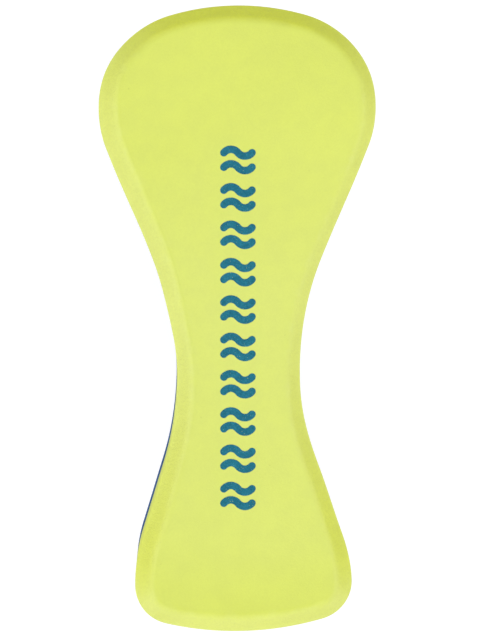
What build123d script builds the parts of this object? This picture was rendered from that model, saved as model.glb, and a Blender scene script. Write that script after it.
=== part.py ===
from build123d import *

import os
from math import acos, atan2, degrees

# A pull buoy: two slabs of closed-cell foam glued face to face and cut to one figure-eight
# outline, with a row of printed wave marks on the front face. Sizes are in millimetres.
#
# The buoy lies on its rear face. The origin is on that face, at the middle of the outline's box.
# +X runs across the width, +Y along the length to the larger lobe, +Z through the thickness to
# the printed front face.

# ---- Driving dimensions -------------------------------------------------------------------

length = 245.0
thickness = 80.0

# The larger lobe: a circle at each shoulder, closed by one flat arc across the end.
large_lobe_width = 108.6
shoulder_radius = 38.3
shoulder_y = 81.9

# The waist that the thighs close on.
waist_width = 48.3
waist_radius = 115.5
waist_y = -20.9

# The smaller lobe: a wide arc up each side and a tight corner, closed by one flat arc.
small_lobe_width = 84.9
small_side_radius = 58.5
corner_radius = 15.5
corner_y = -103.5

# The bevel around both faces, rounded over where it meets the face.
bevel_width = 5.6
bevel_depth = 6.4
face_edge_radius = 4.0

# The glue between the slabs, and how far it stops short of the outline.
glue_thickness = 0.3
glue_inset = 1.0

# The printed marks: a pair of wave strokes in each, in one row along the front face.
mark_count = 10
mark_pitch = 14.5
mark_row_y = -3.3
mark_width = 13.9
mark_depth = 0.3
stroke_width = 3.0
stroke_pitch = 5.6
wave_height = 1.3

slab_thickness = (thickness - glue_thickness) / 2
half_length = length / 2

# ---- Outline ------------------------------------------------------------------------------

shoulder = Vector(large_lobe_width / 2 - shoulder_radius, shoulder_y)
waist = Vector(waist_width / 2 + waist_radius, waist_y)
small_side = Vector(small_lobe_width / 2 - small_side_radius, corner_y)
corner = Vector(small_lobe_width / 2 - corner_radius, corner_y)


def end_arc_radius(circle, radius):
    """Radius of the arc that crosses a lobe's end on the centre line and is tangent to a circle."""
    rise = half_length - abs(circle.Y)
    return (circle.X**2 + rise**2 - radius**2) / (2 * (rise - radius))


def direction(start, end):
    """Angle in degrees, from +X, of the way from one point to another."""
    return degrees(atan2(end.Y - start.Y, end.X - start.X))


def flank_turn(circle, radius):
    """Angle between the way to the waist's centre and the normal of the straight flank."""
    return degrees(acos((radius + waist_radius) / (waist - circle).length))


large_end_radius = end_arc_radius(shoulder, shoulder_radius)
small_end_radius = end_arc_radius(corner, corner_radius)
large_end = Vector(0, half_length - large_end_radius)
small_end = Vector(0, small_end_radius - half_length)

# Each angle is the direction of the outline's outward normal where two arcs or lines meet.
large_end_angle = direction(large_end, shoulder)
large_flank_angle = direction(shoulder, waist) + flank_turn(shoulder, shoulder_radius)
small_flank_angle = direction(small_side, waist) - flank_turn(small_side, small_side_radius)
small_end_angle = direction(small_end, corner)

with BuildSketch() as outline:
    with BuildLine():
        CenterArc(large_end, large_end_radius, 90, large_end_angle - 90)
        large_side = CenterArc(
            shoulder, shoulder_radius, large_end_angle, large_flank_angle - large_end_angle
        )
        waist_arc = CenterArc(
            waist, waist_radius, 180 + large_flank_angle, small_flank_angle - large_flank_angle
        )
        Line(large_side @ 1, waist_arc @ 0)
        small_side_arc = CenterArc(
            small_side, small_side_radius, small_flank_angle, -small_flank_angle
        )
        Line(waist_arc @ 1, small_side_arc @ 0)
        CenterArc(corner, corner_radius, 0, small_end_angle)
        CenterArc(small_end, small_end_radius, small_end_angle, -90 - small_end_angle)
        mirror(about=Plane.YZ)
    make_face()

# One printed mark: two parallel strokes, each a crest and a trough with round ends.
half_wave = (mark_width - stroke_width) / 2
with BuildSketch() as mark:
    for stroke_y in (-stroke_pitch / 2, stroke_pitch / 2):
        with BuildLine():
            SagittaArc((-half_wave, stroke_y), (0, stroke_y), wave_height)
            SagittaArc((0, stroke_y), (half_wave, stroke_y), -wave_height)
            offset(amount=stroke_width / 2, side=Side.BOTH)
        make_face()

mark_row_start = mark_row_y - mark_pitch * (mark_count - 1) / 2
mark_places = [(0, mark_row_start + mark_pitch * index) for index in range(mark_count)]

# ---- Pieces -------------------------------------------------------------------------------

os.makedirs("parts", exist_ok=True)

# The rear slab, bevelled around the face that the buoy lies on.
with BuildPart() as rear_slab:
    with BuildSketch(Plane.XY):
        add(outline.sketch)
    extrude(amount=slab_thickness)
    rear_face = rear_slab.faces().sort_by(Axis.Z)[0]
    chamfer(rear_face.edges(), length=bevel_width, length2=bevel_depth, reference=rear_face)
    fillet(rear_slab.faces().sort_by(Axis.Z)[0].edges(), radius=face_edge_radius)
rear_slab.part.label = "rear_slab"
export_step(rear_slab.part, "parts/rear_slab.step")

# The glue between the slabs stops short of the outline, so the joint shows as a fine line.
with BuildPart() as glue_layer:
    with BuildSketch(Plane.XY.offset(slab_thickness)):
        add(outline.sketch)
        offset(amount=-glue_inset, mode=Mode.REPLACE)
    extrude(amount=glue_thickness)
glue_layer.part.label = "glue_layer"
export_step(glue_layer.part, "parts/glue_layer.step")

# The front slab, bevelled like the rear one, with a shallow pocket under each printed mark.
with BuildPart() as front_slab:
    with BuildSketch(Plane.XY.offset(thickness - slab_thickness)):
        add(outline.sketch)
    extrude(amount=slab_thickness)
    front_face = front_slab.faces().sort_by(Axis.Z)[-1]
    chamfer(front_face.edges(), length=bevel_width, length2=bevel_depth, reference=front_face)
    fillet(front_slab.faces().sort_by(Axis.Z)[-1].edges(), radius=face_edge_radius)
    with BuildSketch(Plane.XY.offset(thickness)):
        with Locations(mark_places):
            add(mark.sketch)
    extrude(amount=-mark_depth, mode=Mode.SUBTRACT)
front_slab.part.label = "front_slab"
export_step(front_slab.part, "parts/front_slab.step")

# The printed marks fill their pockets flush with the front face.
for number, place in enumerate(mark_places, start=1):
    with BuildPart() as wave_mark:
        with BuildSketch(Plane.XY.offset(thickness)):
            with Locations(place):
                add(mark.sketch)
        extrude(amount=-mark_depth)
    wave_mark.part.label = f"wave_mark_{number:02d}"
    export_step(wave_mark.part, f"parts/wave_mark_{number:02d}.step")
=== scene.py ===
from math import acos, atan2, cos, degrees, pi, radians, sin, tan

import bmesh
import bpy
import numpy as np
from mathutils import Matrix, Vector, noise


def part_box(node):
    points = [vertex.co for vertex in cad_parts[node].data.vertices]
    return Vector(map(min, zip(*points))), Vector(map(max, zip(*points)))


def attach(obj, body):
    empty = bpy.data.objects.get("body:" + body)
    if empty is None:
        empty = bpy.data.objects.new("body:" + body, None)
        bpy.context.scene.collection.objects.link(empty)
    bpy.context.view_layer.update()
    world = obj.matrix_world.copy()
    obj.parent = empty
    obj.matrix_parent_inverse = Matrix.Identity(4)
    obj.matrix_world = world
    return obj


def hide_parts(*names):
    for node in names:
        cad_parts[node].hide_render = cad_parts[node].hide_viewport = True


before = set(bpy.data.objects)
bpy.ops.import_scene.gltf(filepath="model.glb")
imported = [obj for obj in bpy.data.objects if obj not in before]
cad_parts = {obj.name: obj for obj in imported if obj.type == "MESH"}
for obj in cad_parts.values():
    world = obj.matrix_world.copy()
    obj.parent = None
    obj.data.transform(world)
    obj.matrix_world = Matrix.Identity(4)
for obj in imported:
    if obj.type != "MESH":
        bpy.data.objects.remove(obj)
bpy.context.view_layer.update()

# The looks of a two-tone foam pull buoy, built around its CAD slabs. Lengths are in metres.
# +Y runs along the buoy to its larger lobe, +X across it and +Z up to its printed front face.

MM = 0.001

# ---- Sizes from the frame -----------------------------------------------------------------

front_low, front_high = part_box("front_slab")
glue_low, glue_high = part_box("glue_layer")

THICKNESS = front_high.z
MIDDLE = THICKNESS / 2
HALF_LENGTH = (front_high.y - front_low.y) / 2
GLUE_INSET = front_high.x - glue_high.x
HALF_GLUE = (glue_high.z - glue_low.z) / 2

# ---- Shape of the foam --------------------------------------------------------------------

# The outline's arcs, as in the CAD.
LARGE_HALF_WIDTH = front_high.x
SHOULDER_RADIUS = 38.3 * MM
SHOULDER_Y = 81.9 * MM
WAIST_HALF_WIDTH = 24.15 * MM
WAIST_RADIUS = 115.5 * MM
WAIST_Y = -20.9 * MM
SMALL_HALF_WIDTH = 42.45 * MM
SMALL_SIDE_RADIUS = 58.5 * MM
CORNER_RADIUS = 15.5 * MM
CORNER_Y = -103.5 * MM

# The bevel at its nominal size, and the radii that soften the edges.
BEVEL_WIDTH = 5.6 * MM
BEVEL_DEPTH = 6.4 * MM
FACE_EDGE_RADIUS = 4.2 * MM
WALL_EDGE_RADIUS = 1.8 * MM
SEAM_EDGE_RADIUS = 0.5 * MM

# How far an edge's band, which carries its wear, painted highlight and roughness, reaches to each side.
EDGE_BAND_REACH = 2.0 * MM

# The sideways bow that the foam has taken: how far each lobe leans from the waist in radians, where
# its lean starts, and the length over which it grows. Both ends are also out of square with the
# length, by these slopes.
LARGE_LOBE_LEAN = 0.0014
LARGE_BOW_START = 20 * MM
SMALL_LOBE_LEAN = -0.0240
SMALL_BOW_START = 25 * MM
BOW_REACH = 60 * MM
LARGE_END_SKEW = 0.0083
SMALL_END_SKEW = 0.0259

# The bevel is trimmed by hand at one angle, so its width varies along the outline: each row gives
# a place along the buoy, and the bevel's width there on the left side and on the right.
BEVEL_WIDTHS = (
    (-122.5 * MM, 6.6 * MM, 6.6 * MM),
    (-103.0 * MM, 6.5 * MM, 6.3 * MM),
    (-74.0 * MM, 6.5 * MM, 5.3 * MM),
    (-58.0 * MM, 5.6 * MM, 5.3 * MM),
    (-40.0 * MM, 6.1 * MM, 5.2 * MM),
    (-10.0 * MM, 5.1 * MM, 4.5 * MM),
    (35.0 * MM, 5.9 * MM, 4.0 * MM),
    (82.0 * MM, 6.8 * MM, 4.8 * MM),
    (122.5 * MM, 5.8 * MM, 5.8 * MM),
)

# The knife strayed a little from the true outline: each row gives a place along the buoy, and how
# far outside the outline the foam is cut there on the left side and on the right.
KNIFE_STRAYS = (
    (-118.0 * MM, 0.0 * MM, 0.0 * MM),
    (-104.0 * MM, 0.0 * MM, 0.3 * MM),
    (-86.0 * MM, -0.2 * MM, -0.3 * MM),
    (-58.0 * MM, 0.0 * MM, 0.5 * MM),
    (-34.0 * MM, 0.0 * MM, -0.4 * MM),
    (-16.0 * MM, -0.4 * MM, 0.0 * MM),
    (4.0 * MM, 0.6 * MM, 0.0 * MM),
    (32.0 * MM, -0.5 * MM, -0.3 * MM),
    (56.0 * MM, 0.1 * MM, 0.1 * MM),
    (79.0 * MM, -0.3 * MM, -0.4 * MM),
    (98.0 * MM, 0.6 * MM, 0.2 * MM),
    (110.0 * MM, 0.0 * MM, 0.0 * MM),
)

# How much painted sheen makes the cut foam lighter and bluer, from 0 where it has none, and how
# much of the edges' painted highlight shows: each row gives a place along the buoy, and the amount
# there on the left side and on the right.
PAINTED_SHEEN = (
    (-122.5 * MM, 0.80, 0.80),
    (-112.0 * MM, 0.80, 0.70),
    (-95.0 * MM, 0.25, 0.20),
    (-72.0 * MM, 0.45, 0.30),
    (-40.0 * MM, 0.75, 0.60),
    (-5.0 * MM, 1.00, 0.90),
    (80.0 * MM, 0.80, 0.70),
    (107.0 * MM, 0.60, 0.35),
    (120.0 * MM, 0.00, 0.00),
)

# How many ring points to each side the tables above are blended over.
SIDE_BLEND = 6

# How closely the surface is sampled.
OUTLINE_STEP = 1.3 * MM
WALL_STEP = 2.0 * MM
BEVEL_STEP = 1.0 * MM
EDGE_ROWS = 9
FACE_RINGS = 16
HIDDEN_RINGS = 2

# A slab's profile starts at one inset on the glued side and stops at another on the face. Rows that
# are this near the height of the glued side still belong to it.
GLUED_RIM = 3 * GLUE_INSET
FACE_RIM = 11 * MM
GLUED_HEIGHT = SEAM_EDGE_RADIUS / 10

# From both rims, rings shrink to a spine along the buoy's middle, with this share of its length.
SPINE_SHARE = 0.66

# ---- Glue film ----------------------------------------------------------------------------

# Its edge is set back by this share of the CAD glue's inset, and bulges outwards at its middle.
GLUE_EDGE_SHARE = 0.75
GLUE_EDGE_BULGE = 0.1 * MM

# ---- Printed marks ------------------------------------------------------------------------

MARK_COUNT = 10
STROKE_WIDTH = 3.0 * MM
STROKE_PITCH = 5.6 * MM
WAVE_HEIGHT = 1.3 * MM

# The ink stands this far above the foam, and its sides reach this far down into it.
INK_THICKNESS = 0.08 * MM
INK_DEPTH = 0.2 * MM

# The points along each bend of a stroke, and the slices of its round ends as degrees round them.
BEND_POINTS = 15
CAP_ANGLES = (20, 40, 57, 70, 80, 87)


# ---- Outline ------------------------------------------------------------------------------


def end_arc_radius(circle, radius):
    """Radius of the arc that crosses a lobe's end and is tangent to a circle."""
    rise = HALF_LENGTH - abs(circle[1])
    return (circle[0] ** 2 + rise**2 - radius**2) / (2 * (rise - radius))


def direction(start, end):
    """Angle in degrees, from +X, of the way from one point to another."""
    return degrees(atan2(end[1] - start[1], end[0] - start[0]))


def arc(centre, radius, start, end, hollow=False):
    """Points and outward normals along an arc, without its last point."""
    count = round(radius * radians(abs(end - start)) / OUTLINE_STEP)
    angles = np.radians(np.linspace(start, end, count, endpoint=False))
    rays = np.column_stack((np.cos(angles), np.sin(angles)))
    return centre + radius * rays, -rays if hollow else rays


def straight(start, end, normal):
    """Points and normals along a line, without its last point."""
    count = round(float(np.linalg.norm(end - start)) / OUTLINE_STEP)
    share = np.linspace(0, 1, count, endpoint=False)[:, None]
    return start + share * (end - start), np.tile(normal, (count, 1))


def right_side():
    """Points and outward normals of the outline's right half, from the large end to the small."""
    shoulder = np.array((LARGE_HALF_WIDTH - SHOULDER_RADIUS, SHOULDER_Y))
    waist = np.array((WAIST_HALF_WIDTH + WAIST_RADIUS, WAIST_Y))
    side = np.array((SMALL_HALF_WIDTH - SMALL_SIDE_RADIUS, CORNER_Y))
    corner = np.array((SMALL_HALF_WIDTH - CORNER_RADIUS, CORNER_Y))

    def flank_turn(circle, radius):
        """Angle between the line to the waist's centre and the normal of the flank on the way."""
        gap = float(np.linalg.norm(waist - circle))
        return degrees(acos((radius + WAIST_RADIUS) / gap))

    large_radius = end_arc_radius(shoulder, SHOULDER_RADIUS)
    small_radius = end_arc_radius(corner, CORNER_RADIUS)
    large_end = np.array((0, HALF_LENGTH - large_radius))
    small_end = np.array((0, small_radius - HALF_LENGTH))

    shoulder_turn = direction(large_end, shoulder)
    upper = direction(shoulder, waist) + flank_turn(shoulder, SHOULDER_RADIUS)
    lower = direction(side, waist) - flank_turn(side, SMALL_SIDE_RADIUS)
    corner_turn = direction(small_end, corner)

    upper_normal = np.array((np.cos(radians(upper)), sin(radians(upper))))
    lower_normal = np.array((np.cos(radians(lower)), sin(radians(lower))))
    stretches = [
        arc(large_end, large_radius, 90, shoulder_turn),
        arc(shoulder, SHOULDER_RADIUS, shoulder_turn, upper),
        straight(
            shoulder + SHOULDER_RADIUS * upper_normal, waist - WAIST_RADIUS * upper_normal, upper_normal
        ),
        arc(waist, WAIST_RADIUS, 180 + upper, 180 + lower, hollow=True),
        straight(
            waist - WAIST_RADIUS * lower_normal, side + SMALL_SIDE_RADIUS * lower_normal, lower_normal
        ),
        arc(side, SMALL_SIDE_RADIUS, lower, 0),
        arc(corner, CORNER_RADIUS, 0, corner_turn),
        arc(small_end, small_radius, corner_turn, -90),
    ]
    last = (np.array([[0, -HALF_LENGTH]]), np.array([[0.0, -1.0]]))
    points = np.vstack([points for points, _ in stretches] + [last[0]])
    normals = np.vstack([normals for _, normals in stretches] + [last[1]])
    return points, normals


RIGHT, RIGHT_NORMALS = right_side()
ROWS_ALONG = len(RIGHT)
MIRROR = np.array((-1, 1))
RING = np.vstack((RIGHT, RIGHT[-2:0:-1] * MIRROR))
RING_NORMALS = np.vstack((RIGHT_NORMALS, RIGHT_NORMALS[-2:0:-1] * MIRROR))
RING_SIZE = len(RING)
SPINE = np.column_stack((np.zeros(ROWS_ALONG), np.linspace(1, -1, ROWS_ALONG) * HALF_LENGTH * SPINE_SHARE))
RING_TO_SPINE = np.concatenate((np.arange(ROWS_ALONG), np.arange(ROWS_ALONG - 2, 0, -1)))


def both_sides(rows):
    """The value at each ring point of a table of left and right values, blended along the ring."""
    along, left, right = np.transpose(rows)
    y = RING[:, 1]
    values = np.where(RING[:, 0] > 0, np.interp(y, along, right), np.interp(y, along, left))
    near = range(-SIDE_BLEND, SIDE_BLEND + 1)
    return sum(np.roll(values, step) for step in near) / len(near)


BEVEL_SHARE = both_sides(BEVEL_WIDTHS) / BEVEL_WIDTH
# The painted sheen at each ring point.
RING_SHEEN = both_sides(PAINTED_SHEEN)
RING += both_sides(KNIFE_STRAYS)[:, None] * RING_NORMALS


def trimmed(inset, height):
    """Inset and height of a profile row at each ring point, for the bevel's width there."""
    inset_change = min(inset, BEVEL_WIDTH) * (BEVEL_SHARE - 1)
    drop = np.interp(MIDDLE - height, (0, BEVEL_DEPTH, MIDDLE), (0, BEVEL_DEPTH, 0))
    return inset + inset_change, height - drop * (BEVEL_SHARE - 1)


# ---- Bow and unevenness of the real foam --------------------------------------------------


def ease(share):
    """Smooth step from 0 to 1."""
    share = np.clip(share, 0, 1)
    return share * share * (3 - 2 * share)


# The lean adds up to a shift in small steps, which reach a little past both ends.
BOW_Y = np.linspace(-1.1, 1.1, 1001) * HALF_LENGTH
BOW_ANGLE = LARGE_LOBE_LEAN * ease((BOW_Y - LARGE_BOW_START) / BOW_REACH)
BOW_ANGLE += SMALL_LOBE_LEAN * ease((SMALL_BOW_START - BOW_Y) / BOW_REACH)
BOW_SHIFT = np.cumsum(np.sin(BOW_ANGLE)) * (BOW_Y[1] - BOW_Y[0])
BOW_SHIFT -= np.interp(LARGE_BOW_START, BOW_Y, BOW_SHIFT)


def bowed(points):
    """The points as they lie once the foam has bowed sideways and its ends have gone out of square."""
    x, y = points[:, 0], points[:, 1]
    shift = np.interp(y, BOW_Y, BOW_SHIFT)
    skew = np.interp(y, (-HALF_LENGTH, HALF_LENGTH), (SMALL_END_SKEW, LARGE_END_SKEW))
    return np.column_stack((x + shift, y + skew * x, points[:, 2]))


# Each layer of unevenness: its size across, its height, and an offset that makes it its own.
# The cut walls are truer than the faces of the foam sheet.
UNEVENNESS = ((42 * MM, 0.30 * MM, 3.7), (13 * MM, 0.07 * MM, 11.3))
WALL_UNEVENNESS = 0.15

# The rear face is flattened where it rests, a hair above the floor so that the two don't coincide.
FLOOR_GAP = 0.02 * MM


def unevenness(points):
    """How far the foam stands out from its nominal surface at each point."""
    total = np.zeros(len(points))
    for size, height, offset in UNEVENNESS:
        shift = Vector((offset, offset, offset))
        total += [height * noise.noise(Vector(point) / size + shift) for point in points]
    return total


# ---- Mesh building ------------------------------------------------------------------------


def make_object(name, points, faces, material, attributes=None):
    """A smooth-shaded mesh object with its float attributes, and its faces turned outwards."""
    mesh = bpy.data.meshes.new(name)
    mesh.from_pydata([tuple(point) for point in points], [], faces)
    for key, values in (attributes or {}).items():
        layer = mesh.attributes.new(key, "FLOAT", "POINT")
        layer.data.foreach_set("value", np.asarray(values, np.float32))
    shape = bmesh.new()
    shape.from_mesh(mesh)
    bmesh.ops.recalc_face_normals(shape, faces=shape.faces)
    shape.to_mesh(mesh)
    shape.free()
    mesh.shade_smooth()
    mesh.materials.append(material)
    piece = bpy.data.objects.new(name, mesh)
    bpy.context.collection.objects.link(piece)
    return piece


def rounded_corner(before, corner, after, radius):
    """Points of the arc that rounds one corner of a profile."""
    before, corner, after = (np.array(point, float) for point in (before, corner, after))
    back = (before - corner) / np.linalg.norm(before - corner)
    ahead = (after - corner) / np.linalg.norm(after - corner)
    half_angle = acos(float(back @ ahead)) / 2
    middle = (back + ahead) / np.linalg.norm(back + ahead)
    centre = corner + middle * radius / sin(half_angle)
    start = corner + back * radius / tan(half_angle) - centre
    end = corner + ahead * radius / tan(half_angle) - centre
    sweep = pi - 2 * half_angle
    share = np.linspace(0, 1, EDGE_ROWS)[:, None]
    return centre + (np.sin((1 - share) * sweep) * start + np.sin(share * sweep) * end) / sin(sweep)


def stretch(start, end, step):
    """Points between two profile points, without either of them."""
    count = max(2, round(float(np.linalg.norm(end - start)) / step))
    return start + np.linspace(0, 1, count + 1)[1:-1, None] * (end - start)


def min_distance(places, targets):
    """Distance from each place to the nearest of the targets."""
    return np.min([np.linalg.norm(places - target, axis=1) for target in targets], axis=0)


def slab_profile():
    """Profile rows of a slab from its glued side to its face: inset, height, skin and edge.

    Height is from the buoy's middle plane. Skin is 1 on the sheet's own smooth face and 0 where the
    foam was cut. Edge is 1 at the middle of a rounded edge and fades out to both sides of it.
    """
    corners = [
        (GLUED_RIM, HALF_GLUE),
        (0, HALF_GLUE),
        (0, MIDDLE - BEVEL_DEPTH),
        (BEVEL_WIDTH, MIDDLE),
        (FACE_RIM, MIDDLE),
    ]
    seam_edge = rounded_corner(*corners[0:3], SEAM_EDGE_RADIUS)
    wall_edge = rounded_corner(*corners[1:4], WALL_EDGE_RADIUS)
    face_edge = rounded_corner(*corners[2:5], FACE_EDGE_RADIUS)
    parts = [
        (np.array(corners[0:1]), 0),
        (seam_edge, 0),
        (stretch(seam_edge[-1], wall_edge[0], WALL_STEP), 0),
        (wall_edge, 0),
        (stretch(wall_edge[-1], face_edge[0], BEVEL_STEP), 0),
        (face_edge, ease(np.linspace(0, 1, EDGE_ROWS))),
        (stretch(face_edge[-1], np.array(corners[4]), BEVEL_STEP), 1),
        (np.array(corners[4:5]), 1),
    ]
    places = np.vstack([part for part, _ in parts])
    skin = np.concatenate([np.broadcast_to(share, len(part)) for part, share in parts])
    middles = [edge[EDGE_ROWS // 2] for edge in (seam_edge, wall_edge, face_edge)]
    away = min_distance(places, middles)
    return np.column_stack((places, skin, np.exp(-((away / EDGE_BAND_REACH) ** 2))))


def profile_directions(rows):
    """For each profile row, how far its surface faces outwards and upwards."""
    along = np.gradient(rows[:, :2], axis=0)
    along /= np.linalg.norm(along, axis=1)[:, None]
    return along[:, 1], along[:, 0]


def rings_to_spine(inset, height, count):
    """Rings that shrink from an inset outline to the spine, without either of them."""
    outer = RING - trimmed(inset, height)[0][:, None] * RING_NORMALS
    inner = SPINE[RING_TO_SPINE]
    for share in np.linspace(0, 1, count + 2)[1:-1]:
        ring = outer + share * (inner - outer)
        yield np.column_stack((ring, np.full(RING_SIZE, height)))


def plate_rings(rows):
    """A closed plate's rings from its glued side to its face, with a spine first and last.

    Each comes with the direction that every point faces, its skin and its edge. Points of the glued
    side face nowhere, so that they stay where they are.
    """
    outwards, upwards = profile_directions(rows)
    glued_height, face_height, face_skin = rows[0, 1], rows[-1, 1], rows[-1, 2]
    level = np.tile((0.0, 0.0, 1.0), (RING_SIZE, 1))
    nowhere = np.zeros((RING_SIZE, 3))
    yield np.column_stack((SPINE, np.full(ROWS_ALONG, glued_height))), nowhere[:ROWS_ALONG], 0, 0
    for ring in reversed(list(rings_to_spine(rows[0, 0], glued_height, HIDDEN_RINGS))):
        yield ring, nowhere, 0, 0
    for (inset, height, skin, edge), out, up in zip(rows, outwards, upwards):
        insets, heights = trimmed(inset, height)
        ring = np.column_stack((RING - insets[:, None] * RING_NORMALS, heights))
        normals = np.column_stack((RING_NORMALS * out, np.full(RING_SIZE, up)))
        yield ring, nowhere if height <= glued_height + GLUED_HEIGHT else normals, skin, edge
    for ring in rings_to_spine(rows[-1, 0], face_height, FACE_RINGS):
        yield ring, level, face_skin, 0
    yield np.column_stack((SPINE, np.full(ROWS_ALONG, face_height))), level[:ROWS_ALONG], face_skin, 0


def plate_faces(starts):
    """Faces from each ring to the next and to the two spines, for the index where each starts."""
    faces = []
    for low, high in zip(starts[1:-3], starts[2:-2]):
        for i in range(RING_SIZE):
            j = (i + 1) % RING_SIZE
            faces.append((low + i, low + j, high + j, high + i))
    for ring, spine in ((starts[1], starts[0]), (starts[-3], starts[-2])):
        for i in range(RING_SIZE):
            j = (i + 1) % RING_SIZE
            faces.append((ring + i, ring + j, spine + RING_TO_SPINE[j], spine + RING_TO_SPINE[i]))
    return faces


def closed_plate(name, rows, material, side, uneven=True):
    """A closed plate of the buoy's outline. Side is 1 for the front half and -1 for the rear."""
    rings, facing, skins, edges = zip(*plate_rings(rows))
    sizes = [len(ring) for ring in rings]
    place = bowed(np.vstack(rings) * (1, 1, side) + (0, 0, MIDDLE))
    if uneven:
        give = np.vstack(facing) * (WALL_UNEVENNESS, WALL_UNEVENNESS, side)
        place += give * unevenness(place)[:, None]
    place[:, 2] = np.clip(place[:, 2], FLOOR_GAP, None)
    # Each ring carries the painted sheen of its points; the spines carry none.
    no_sheen = np.zeros(ROWS_ALONG)
    attributes = {
        "skin": np.repeat(skins, sizes),
        "edge": np.repeat(edges, sizes),
        "painted_sheen": np.concatenate((no_sheen, np.tile(RING_SHEEN, len(rings) - 2), no_sheen)),
    }
    return make_object(name, place, plate_faces(np.cumsum([0] + sizes)), material, attributes)


def wave_stroke(middle_y, half_wave):
    """Centre points, directions and half widths along one wave stroke, round ends included."""
    radius = STROKE_WIDTH / 2
    bend_radius = (half_wave**2 / 4 + WAVE_HEIGHT**2) / (2 * WAVE_HEIGHT)
    half_turn = 2 * np.arctan2(WAVE_HEIGHT, half_wave / 2)
    turns = np.linspace(-half_turn, half_turn, BEND_POINTS)
    crest_x = bend_radius * np.sin(turns)
    crest_y = bend_radius * (np.cos(turns) - np.cos(half_turn))
    crest = np.column_stack((crest_x - half_wave / 2, crest_y))
    trough = np.column_stack((crest_x + half_wave / 2, -crest_y))
    crest_way = np.column_stack((np.cos(turns), -np.sin(turns)))
    trough_way = np.column_stack((np.cos(turns), np.sin(turns)))
    centres = np.vstack((crest, trough[1:]))
    ways = np.vstack((crest_way, trough_way[1:]))
    cap = np.radians(CAP_ANGLES)[:, None]
    start_cap = centres[0] - radius * np.sin(cap[::-1]) * ways[0]
    end_cap = centres[-1] + radius * np.sin(cap) * ways[-1]
    cap_widths = radius * np.cos(cap).ravel()
    widths = np.concatenate((cap_widths[::-1], np.full(len(centres), radius), cap_widths))
    centres = np.vstack((start_cap, centres, end_cap)) + (0, middle_y)
    cap_shape = (len(CAP_ANGLES), 1)
    ways = np.vstack((np.tile(ways[0], cap_shape), ways, np.tile(ways[-1], cap_shape)))
    return centres, ways, widths


# One slice across an ink stroke, from its left foot over the film to its right foot: how far
# across the stroke each point is, and how far up the film, or down into the foam.
INK_HALF_SLICE = ((1, -1), (1, 0), (0.94, 0.75), (0.8, 1), (0.4, 1))
INK_SLICE = (*((-share, lift) for share, lift in INK_HALF_SLICE), (0, 1), *reversed(INK_HALF_SLICE))


def wave_mark(name, node, material):
    """One printed mark, two wave strokes of thin ink that follow the foam under them."""
    low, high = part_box(node)
    middle_x, middle_y = (low.x + high.x) / 2, (low.y + high.y) / 2
    half_wave = (high.x - low.x - STROKE_WIDTH) / 2
    points, faces, rims = [], [], []
    for offset in (-STROKE_PITCH / 2, STROKE_PITCH / 2):
        centres, ways, widths = wave_stroke(middle_y + offset, half_wave)
        across = np.column_stack((-ways[:, 1], ways[:, 0]))
        first = len(points)
        for centre, side, width in zip(centres, across, widths):
            for share, lift in INK_SLICE:
                x, y = centre + side * width * share
                height = lift * INK_THICKNESS if lift > 0 else lift * INK_DEPTH
                points.append((x + middle_x, y, THICKNESS + height))
                rims.append(abs(share))
        size = len(INK_SLICE)
        for slice_start in range(first, len(points) - size, size):
            for i in range(size):
                j = (i + 1) % size
                here, there = slice_start, slice_start + size
                faces.append((here + i, here + j, there + j, there + i))
        faces.append(tuple(range(first, first + size)))
        faces.append(tuple(range(len(points) - 1, len(points) - 1 - size, -1)))
    place = np.array(points)
    foam = np.column_stack((place[:, :2], np.full(len(place), THICKNESS)))
    place[:, 2] += unevenness(foam)
    return make_object(name, place, faces, material, {"rim": rims})


# ---- Materials ----------------------------------------------------------------------------


def colour(red, green, blue):
    return (red, green, blue, 1.0)


# Foam colours: skin, skin with painted sheen, cut with painted sheen, plain cut, worn edge with painted
# highlight.
LIME_SKIN = colour(0.646, 0.725, 0.078)
LIME_SKIN_SHEEN = colour(0.654, 0.732, 0.101)
LIME_CUT_SHEEN = colour(0.65, 0.71, 0.13)
LIME_CUT = colour(0.61, 0.67, 0.024)
LIME_WEAR_AND_HIGHLIGHT = colour(0.66, 0.735, 0.17)
BLUE_SKIN = colour(0.011, 0.073, 0.22)
BLUE_SKIN_SHEEN = colour(0.012, 0.076, 0.224)
BLUE_CUT_SHEEN = colour(0.011, 0.074, 0.218)
BLUE_CUT = colour(0.008, 0.062, 0.21)
BLUE_WEAR_AND_HIGHLIGHT = colour(0.03, 0.115, 0.29)
INK_DEEP = colour(0.011, 0.140, 0.215)
INK_PALE = colour(0.018, 0.172, 0.25)
GLUE_PALE = colour(0.30, 0.36, 0.14)
GLUE_DEEP = colour(0.16, 0.24, 0.16)
FLOOR_GREY = colour(0.25, 0.25, 0.25)
WHITE = colour(1.0, 1.0, 1.0)
FLOOR_GLOW = 0.86

# How wide the foam's features are: patches of tone, mottling, grain, dimples, cells, the pores that
# a cut opens, knife lines and the patches of edge wear and painted highlight. Specks lie one to a
# cell of this spacing at most.
PATCH_SIZE = 60 * MM
MOTTLE_SIZE = 9 * MM
GRAIN_SIZE = 0.7 * MM
DIMPLE_SIZE = 2.6 * MM
CELL_SIZE = 0.5 * MM
PORE_SIZE = 0.6 * MM
KNIFE_LINE_SIZE = 0.9 * MM
WEAR_AND_HIGHLIGHT_PATCH_SIZE = 5 * MM
SPECK_SPACING = 7 * MM

# The knife runs along Z, so its lines on the walls do too: they hardly change along it.
KNIFE_SCALE = (1, 1, 0.02)

# Pores and specks are spots that fade out between two distances from their middles, as shares of
# their spacing. Only some of the places for a speck have one.
PORE_FADE = (0.12, 0.42)
SPECK_FADE = (0.025, 0.06)
SPECK_THRESHOLD = 0.6

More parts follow.
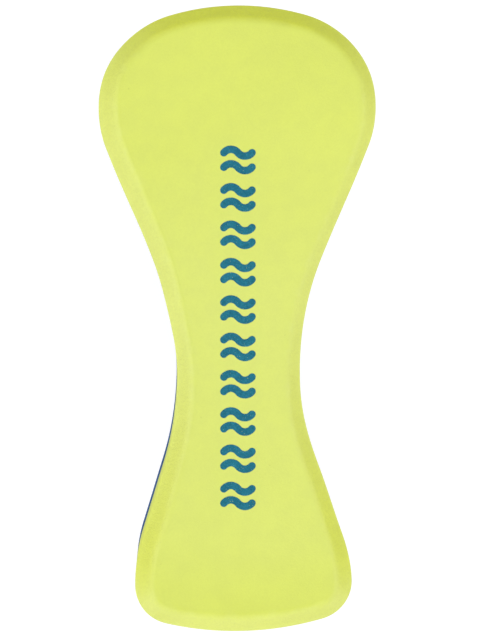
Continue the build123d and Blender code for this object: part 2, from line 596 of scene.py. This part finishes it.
# The range that noise nearly always keeps to, when it is soft and when it is fine.
SOFT_NOISE = (0.3, 0.7)
FINE_NOISE = (0.25, 0.75)

# Where the noise of the patches of edge wear and painted highlight begins and ends to count, and how
# far a patch takes an edge to its colour of wear and painted highlight at the least and at the most.
WEAR_AND_HIGHLIGHT_NOISE = (0.42, 0.68)
WEAR_AND_HIGHLIGHT_RANGE = (0.15, 0.45)

# The painted sheen, lighter and bluer, on the middle of the face fades in from each end between two places.
FACE_SHEEN_FROM_SMALL_END = (-114 * MM, -82 * MM)
FACE_SHEEN_FROM_LARGE_END = (85 * MM, -12 * MM)

# The foam's roughness on its own skin, and the factors by which mottling and edges change it.
SKIN_ROUGHNESS = 0.40
MOTTLE_ROUGHNESS = (0.94, 1.06)
EDGE_ROUGHNESS = 1.4

# How far each feature stands out from the surface, as a share of the bump's height.
FOAM_BUMP = 0.06 * MM
CELL_BUMP = 0.35
DIMPLE_BUMP = 0.8
KNIFE_BUMP = 2.5
PORE_BUMP = 0.8

# The ink's uneven patches, grain and pinholes.
INK_PATCH_SIZE = 3 * MM
INK_GRAIN_SIZE = 0.6 * MM
INK_GRAIN_TONE = (0.8, 1.2)
INK_ROUGHNESS = (0.7, 0.82)
INK_GLOSS = 0.15
INK_BUMP = 0.04 * MM
PINHOLE_SIZE = 0.45 * MM
PINHOLE_NOISE = (0.70, 0.78)

# The ink thins out between these shares of a stroke's half width, and the more the higher its grain
# is in this range. Thin ink and pinholes let this much of the foam's colour through.
THIN_RIM = (0.82, 1.0)
THIN_GRAIN = (0.45, 0.7)
FOAM_THROUGH_INK = 0.5

# The dried glue's smears, and how rough and how high they make it.
GLUE_SMEAR_SIZE = 2.5 * MM
GLUE_ROUGHNESS = (0.4, 0.6)
GLUE_BUMP = 0.05 * MM


class Nodes:
    """A material's node tree, built with one call for each node."""

    def __init__(self, name):
        self.material = bpy.data.materials.new(name)
        self.material.use_nodes = True
        self.tree = self.material.node_tree
        self.shader = self.tree.nodes["Principled BSDF"]
        self.place = self.add("TexCoord").outputs["Object"]

    def feed(self, socket, value):
        if isinstance(value, bpy.types.NodeSocket):
            self.tree.links.new(value, socket)
        else:
            socket.default_value = value

    def add(self, kind, inputs=None, **settings):
        node = self.tree.nodes.new(f"ShaderNode{kind}")
        for key, value in settings.items():
            setattr(node, key, value)
        for key, value in (inputs or {}).items():
            self.feed(node.inputs[key], value)
        return node

    def attribute(self, name):
        return self.add("Attribute", attribute_name=name).outputs["Fac"]

    def noise(self, size, detail=2.0, roughness=0.5, place=None):
        """Noise whose features are about as wide as size."""
        inputs = {"Vector": place or self.place, "Scale": 1 / size, "Detail": detail, "Roughness": roughness}
        return self.add("TexNoise", inputs).outputs["Fac"]

    def cells(self, size):
        """Rounded cells of about the given size, as a Voronoi node."""
        return self.add("TexVoronoi", {"Vector": self.place, "Scale": 1 / size})

    def math(self, operation, first, second):
        return self.add("Math", {0: first, 1: second}, operation=operation).outputs[0]

    def remap(self, value, low, high, to_low=0.0, to_high=1.0):
        inputs = {"Value": value, "From Min": low, "From Max": high, "To Min": to_low, "To Max": to_high}
        return self.add("MapRange", inputs, interpolation_type="SMOOTHSTEP").outputs[0]

    def mix(self, factor, first, second, blend_type="MIX"):
        inputs = {0: factor, 6: first, 7: second}
        return self.add("Mix", inputs, data_type="RGBA", blend_type=blend_type).outputs[2]

    def tone(self, colour, value):
        """The colour made lighter or darker by a value near 1."""
        grey = self.add("CombineColor", {0: value, 1: value, 2: value}).outputs[0]
        return self.mix(1.0, colour, grey, "MULTIPLY")

    def bump(self, height, distance):
        return self.add("Bump", {"Height": height, "Distance": distance}).outputs["Normal"]


def foam_material(name, colours, cut_roughness, gloss, contrast):
    """Closed-cell foam: fine cells, soft mottling, knife lines and open pores where it was cut.

    Contrast says how strongly the pattern shows in the colour.
    """
    skin_colour, skin_sheen_colour, cut_sheen_colour, cut_colour, wear_and_highlight_colour = colours
    nodes = Nodes(name)
    skin = nodes.attribute("skin")
    edge = nodes.attribute("edge")
    painted_sheen = nodes.attribute("painted_sheen")
    cut = nodes.math("SUBTRACT", 1.0, skin)

    patches = nodes.noise(PATCH_SIZE, detail=1.0)
    mottle = nodes.noise(MOTTLE_SIZE, detail=4.0, roughness=0.6)
    grain = nodes.noise(GRAIN_SIZE, detail=2.0, roughness=0.7)
    dimples = nodes.noise(DIMPLE_SIZE, detail=2.0, roughness=0.5)
    cell = nodes.cells(CELL_SIZE).outputs["Distance"]

    knife_place = nodes.add("Mapping", {"Vector": nodes.place, "Scale": KNIFE_SCALE}).outputs[0]
    knife = nodes.noise(KNIFE_LINE_SIZE, detail=3.0, roughness=0.65, place=knife_place)
    knife = nodes.math("MULTIPLY", nodes.math("SUBTRACT", knife, 0.5), cut)
    pore_hole = nodes.remap(nodes.cells(PORE_SIZE).outputs["Distance"], *PORE_FADE, 1.0, 0.0)
    open_pore = nodes.math("MULTIPLY", pore_hole, cut)

    speck_cells = nodes.cells(SPECK_SPACING)
    speck_spot = nodes.remap(speck_cells.outputs["Distance"], *SPECK_FADE, 1.0, 0.0)
    speck_pick = nodes.add("SeparateColor", {0: speck_cells.outputs["Color"]}).outputs[0]
    speck = nodes.math("MULTIPLY", speck_spot, nodes.math("GREATER_THAN", speck_pick, SPECK_THRESHOLD))

    # The middle of the face gets a painted sheen: a lighter, bluer colour that fades out towards both ends.
    along = nodes.add("SeparateXYZ", {0: nodes.place}).outputs[1]
    from_small_end = nodes.remap(along, *FACE_SHEEN_FROM_SMALL_END)
    from_large_end = nodes.remap(along, *FACE_SHEEN_FROM_LARGE_END)
    face_sheen = nodes.math("MULTIPLY", from_small_end, from_large_end)
    face_colour = nodes.mix(face_sheen, skin_colour, skin_sheen_colour)
    # Cut foam goes from its own colour to a lighter, bluer one by its painted sheen.
    base = nodes.mix(skin, nodes.mix(painted_sheen, cut_colour, cut_sheen_colour), face_colour)

    # Each pattern takes the tone from darker to lighter by its own spread over a range of its values.
    for pattern, low, high, spread in (
        (patches, *SOFT_NOISE, 0.012),
        (mottle, *SOFT_NOISE, 0.017),
        (grain, *FINE_NOISE, 0.018),
        (knife, -0.25, 0.25, 0.03),
        # Open pores are painted darker: painted shade in their pits.
        (open_pore, 1.0, -1.0, 0.04),
        (speck, 1.0, -1.0, 0.07),
    ):
        spread *= contrast
        base = nodes.tone(base, nodes.remap(pattern, low, high, 1 - spread, 1 + spread))
    # Rounded edges take a lighter, bluer colour in patches, scaled by the painted sheen: edge wear and a
    # painted highlight.
    wear_and_highlight_patches = nodes.remap(nodes.noise(WEAR_AND_HIGHLIGHT_PATCH_SIZE, detail=3.0, roughness=0.65), *WEAR_AND_HIGHLIGHT_NOISE)
    wear_and_highlight_patches = nodes.math("MULTIPLY", nodes.remap(wear_and_highlight_patches, 0.0, 1.0, *WEAR_AND_HIGHLIGHT_RANGE), painted_sheen)
    wear_and_highlight = nodes.math("MULTIPLY", edge, wear_and_highlight_patches)
    nodes.feed(nodes.shader.inputs["Base Color"], nodes.mix(wear_and_highlight, base, wear_and_highlight_colour))

    rough = nodes.remap(skin, 0.0, 1.0, cut_roughness, SKIN_ROUGHNESS)
    rough = nodes.math("MULTIPLY", rough, nodes.remap(mottle, *SOFT_NOISE, *MOTTLE_ROUGHNESS))
    rough = nodes.math("MULTIPLY", rough, nodes.remap(edge, 0.0, 1.0, 1.0, EDGE_ROUGHNESS))
    nodes.feed(nodes.shader.inputs["Roughness"], rough)
    nodes.shader.inputs["Specular IOR Level"].default_value = gloss

    height = nodes.math("MULTIPLY", cell, CELL_BUMP)
    height = nodes.math("ADD", height, nodes.math("MULTIPLY", dimples, DIMPLE_BUMP))
    height = nodes.math("ADD", height, nodes.math("MULTIPLY", knife, KNIFE_BUMP))
    height = nodes.math("SUBTRACT", height, nodes.math("MULTIPLY", open_pore, PORE_BUMP))
    height = nodes.math("SUBTRACT", height, speck)
    nodes.feed(nodes.shader.inputs["Normal"], nodes.bump(height, FOAM_BUMP))
    return nodes.material


def ink_material():
    """Matt printing ink that lets a few foam cells show through, thinner along its rims."""
    nodes = Nodes("printing_ink")
    rim = nodes.attribute("rim")
    patches = nodes.noise(INK_PATCH_SIZE, detail=3.0, roughness=0.6)
    grain = nodes.noise(INK_GRAIN_SIZE, detail=2.0, roughness=0.7)
    base = nodes.mix(nodes.remap(patches, *SOFT_NOISE), INK_DEEP, INK_PALE)
    base = nodes.tone(base, nodes.remap(grain, *FINE_NOISE, *INK_GRAIN_TONE))
    pinhole = nodes.remap(nodes.noise(PINHOLE_SIZE, detail=1.0), *PINHOLE_NOISE)
    thin = nodes.math("MULTIPLY", nodes.remap(rim, *THIN_RIM), nodes.remap(grain, *THIN_GRAIN))
    bare = nodes.math("MULTIPLY", nodes.math("MAXIMUM", pinhole, thin), FOAM_THROUGH_INK)
    base = nodes.mix(bare, base, LIME_SKIN)
    nodes.feed(nodes.shader.inputs["Base Color"], base)
    nodes.feed(nodes.shader.inputs["Roughness"], nodes.remap(patches, *SOFT_NOISE, *INK_ROUGHNESS))
    nodes.shader.inputs["Specular IOR Level"].default_value = INK_GLOSS
    nodes.feed(nodes.shader.inputs["Normal"], nodes.bump(grain, INK_BUMP))
    return nodes.material


def glue_material():
    """Dried contact adhesive, uneven in tone."""
    nodes = Nodes("dried_glue")
    smear = nodes.noise(GLUE_SMEAR_SIZE, detail=3.0, roughness=0.6)
    base = nodes.mix(nodes.remap(smear, *SOFT_NOISE), GLUE_PALE, GLUE_DEEP)
    nodes.feed(nodes.shader.inputs["Base Color"], base)
    nodes.feed(nodes.shader.inputs["Roughness"], nodes.remap(smear, *SOFT_NOISE, *GLUE_ROUGHNESS))
    nodes.feed(nodes.shader.inputs["Normal"], nodes.bump(smear, GLUE_BUMP))
    return nodes.material


def floor_material():
    """A floor that is pale mostly by a glow of its own, so that shadows on it stay faint."""
    nodes = Nodes("pale_floor")
    nodes.shader.inputs["Base Color"].default_value = FLOOR_GREY
    nodes.shader.inputs["Roughness"].default_value = 0.9
    nodes.shader.inputs["Emission Color"].default_value = WHITE
    nodes.shader.inputs["Emission Strength"].default_value = FLOOR_GLOW
    return nodes.material


# ---- Pieces -------------------------------------------------------------------------------


def build_slabs():
    rows = slab_profile()
    lime_colours = (LIME_SKIN, LIME_SKIN_SHEEN, LIME_CUT_SHEEN, LIME_CUT, LIME_WEAR_AND_HIGHLIGHT)
    blue_colours = (BLUE_SKIN, BLUE_SKIN_SHEEN, BLUE_CUT_SHEEN, BLUE_CUT, BLUE_WEAR_AND_HIGHLIGHT)
    lime = foam_material("lime_foam", lime_colours, cut_roughness=0.46, gloss=1.0, contrast=1.0)
    blue = foam_material("blue_foam", blue_colours, cut_roughness=0.95, gloss=0.25, contrast=3.0)
    for name, node, material, side, slot in (
        ("lime_slab", "front_slab", lime, 1, "lime_foam"),
        ("blue_slab", "rear_slab", blue, -1, "blue_foam"),
    ):
        slab = closed_plate(name, rows, material, side)
        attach(slab, "root")
        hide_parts(node)


def build_glue():
    inset = GLUE_INSET * GLUE_EDGE_SHARE
    middle_inset = inset - GLUE_EDGE_BULGE
    rows = np.array([(inset, -HALF_GLUE, 0, 0), (middle_inset, 0, 0, 0), (inset, HALF_GLUE, 0, 0)])
    glue = closed_plate("glue_film", rows, glue_material(), 1, uneven=False)
    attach(glue, "root")
    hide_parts("glue_layer")


def build_marks():
    ink = ink_material()
    for number in range(1, MARK_COUNT + 1):
        node = f"wave_mark_{number:02d}"
        mark = wave_mark(f"ink_wave_{number:02d}", node, ink)
        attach(mark, "root")
        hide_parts(node)


build_slabs()
build_glue()
build_marks()


# ---- Studio -------------------------------------------------------------------------------

CAMERA_PLACE = Vector((-28.0 * MM, 20.0 * MM, THICKNESS + 900 * MM))
CAMERA_AIM = Vector((0.8 * MM, -0.1 * MM, THICKNESS))
CAMERA_LENS_MM = 130.5

FLOOR_SIZE = 8.0
WORLD_STRENGTH = 0.3


def build_floor():
    half = FLOOR_SIZE / 2
    corners = [(-half, -half, 0), (half, -half, 0), (half, half, 0), (-half, half, 0)]
    floor = make_object("floor", corners, [(0, 1, 2, 3)], floor_material())
    # The floor's glow would otherwise show as a haze on the steep bevel.
    floor.visible_glossy = False


def look_at(place, aim, up):
    """The matrix of a camera or lamp at a place, facing an aim, with its top towards up."""
    backwards = (place - aim).normalized()
    right = up.cross(backwards).normalized()
    turn = Matrix((right, backwards.cross(right), backwards)).transposed()
    return Matrix.Translation(place) @ turn.to_4x4()


def build_camera():
    camera = bpy.data.objects.new("camera", bpy.data.cameras.new("camera"))
    bpy.context.collection.objects.link(camera)
    camera.matrix_world = look_at(CAMERA_PLACE, CAMERA_AIM, Vector((0, 1, 0)))
    camera.data.lens = CAMERA_LENS_MM
    camera.data.clip_start = 0.01
    camera.data.clip_end = 20
    bpy.context.scene.camera = camera


# Soft boxes round the buoy: azimuth from +X and elevation in degrees, distance and side in metres,
# and power in watts.
SOFT_BOXES = {
    "overhead": (180, 88, 1.30, 0.5, 1.7),
    "left": (184, 35, 1.5, 0.8, 10.2),
    "low_front_left": (225, 4, 1.5, 0.8, 7.6),
    "low_front": (270, 4, 1.5, 0.8, 4.2),
    "low_front_right": (315, 4, 1.5, 0.8, 7.9),
    "right": (356, 35, 1.5, 0.8, 6.6),
    "high_right": (0, 62, 1.5, 0.8, 3.2),
    "back": (90, 35, 1.5, 0.8, 3.9),
}

# The lamps' tops are towards +Y, and tipped a little so that none of them lies along it.
LAMP_UP = Vector((0, 1, 0.01))


def soft_light(name, azimuth, elevation, distance, size, watts):
    """A square soft box that faces the buoy."""
    data = bpy.data.lights.new(name, "AREA")
    data.shape = "SQUARE"
    data.size = size
    data.energy = watts
    light = bpy.data.objects.new(name, data)
    bpy.context.collection.objects.link(light)
    reach = distance * cos(radians(elevation))
    ray = (reach * cos(radians(azimuth)), reach * sin(radians(azimuth)), distance * sin(radians(elevation)))
    target = Vector((0, 0, MIDDLE))
    light.matrix_world = look_at(target + Vector(ray), target, LAMP_UP)


def build_lights():
    for name, settings in SOFT_BOXES.items():
        soft_light(name, *settings)


def build_world():
    """A dim white world, and a plain view transform that leaves the colours as they are."""
    world = bpy.data.worlds.new("studio")
    world.use_nodes = True
    background = world.node_tree.nodes["Background"]
    background.inputs["Color"].default_value = WHITE
    background.inputs["Strength"].default_value = WORLD_STRENGTH
    bpy.context.scene.world = world
    bpy.context.scene.view_settings.view_transform = "Standard"


build_floor()
build_camera()
build_lights()
build_world()
